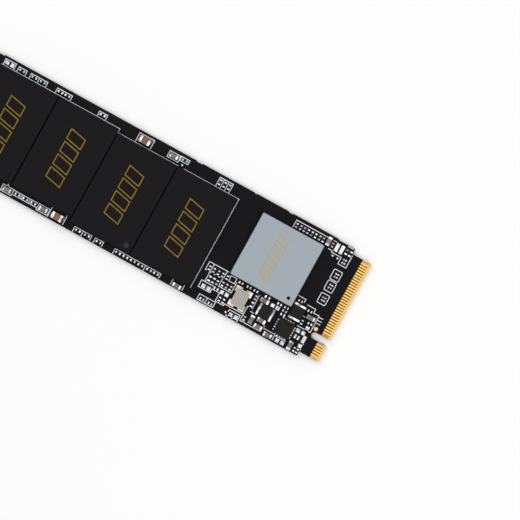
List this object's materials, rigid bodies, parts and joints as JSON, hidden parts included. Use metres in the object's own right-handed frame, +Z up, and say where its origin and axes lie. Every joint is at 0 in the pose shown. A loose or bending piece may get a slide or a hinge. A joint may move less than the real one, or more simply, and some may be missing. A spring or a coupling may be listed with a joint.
{
  "type": "solid-state drive card",
  "caption": "Flat black circuit-board drive card with a keyed gold card edge, a row of black memory packages, a grey-lidded controller and small power parts, for a computer's card slot.",
  "frame": {"origin": "on the underside, half way along the tongue's middle line; the board reaches 0.4 mm further on +Y", "axes": "+X towards the card-edge contacts, +Y towards the upper long edge, +Z up through the parts"},
  "size_m": [0.08, 0.0219, 0.002],
  "materials": {
    "solder_mask": "black solder mask over glass-epoxy laminate",
    "gold": "hard gold plating, satin",
    "tin": "tin plating and solder, satin",
    "mould": "black moulding compound, fine matte",
    "lid_metal": "nickel-plated lid, matte",
    "substrate": "dark green laminate",
    "silicon": "ground silicon",
    "resistor_coat": "black coating on alumina",
    "capacitor_ceramic": "brown fired ceramic",
    "ferrite": "dark grey ferrite",
    "lamp_resin": "milky resin",
    "crystal_ceramic": "cream fired ceramic",
    "crystal_metal": "welded nickel-iron lid, satin",
    "quartz": "polished quartz"
  },
  "bodies": {
    "root": {"circuit_board": "solder_mask", "test_points": "gold", "screw_notch_plating": "gold", "edge_contacts_top": "gold", "edge_contacts_bottom": "gold", "controller_balls": "tin", "controller_substrate": "substrate", "controller_die": "silicon", "controller_lid": "lid_metal", "power_chip_body": "mould", "power_chip_leads": "tin", "crystal_pads": "tin", "crystal_tray": "crystal_ceramic", "crystal_blank": "quartz", "crystal_seal_ring": "gold", "crystal_lid": "crystal_metal", "bare_pads": "tin", "memory_package_1": "mould", "memory_balls_1": "tin", "memory_package_2": "mould", "memory_balls_2": "tin", "memory_package_3": "mould", "memory_balls_3": "tin", "memory_package_4": "mould", "memory_balls_4": "tin", "memory_resistor_bodies": "resistor_coat", "memory_resistor_ends": "tin", "edge_resistor_bodies": "resistor_coat", "edge_resistor_ends": "tin", "power_resistor_bodies": "resistor_coat", "power_resistor_ends": "tin", "lane_capacitor_bodies": "capacitor_ceramic", "lane_capacitor_ends": "tin", "small_capacitor_bodies": "capacitor_ceramic", "small_capacitor_ends": "tin", "edge_capacitor_bodies": "capacitor_ceramic", "edge_capacitor_ends": "tin", "power_capacitor_bodies": "capacitor_ceramic", "power_capacitor_ends": "tin", "large_capacitor_body_1": "capacitor_ceramic", "large_capacitor_ends_1": "tin", "indicator_lamp_body_1": "lamp_resin", "indicator_lamp_ends_1": "tin", "inductor_core_1": "ferrite", "inductor_ends_1": "tin", "large_capacitor_body_2": "capacitor_ceramic", "large_capacitor_ends_2": "tin", "indicator_lamp_body_2": "lamp_resin", "indicator_lamp_ends_2": "tin", "inductor_core_2": "ferrite", "inductor_ends_2": "tin"}
  },
  "joints": []
}
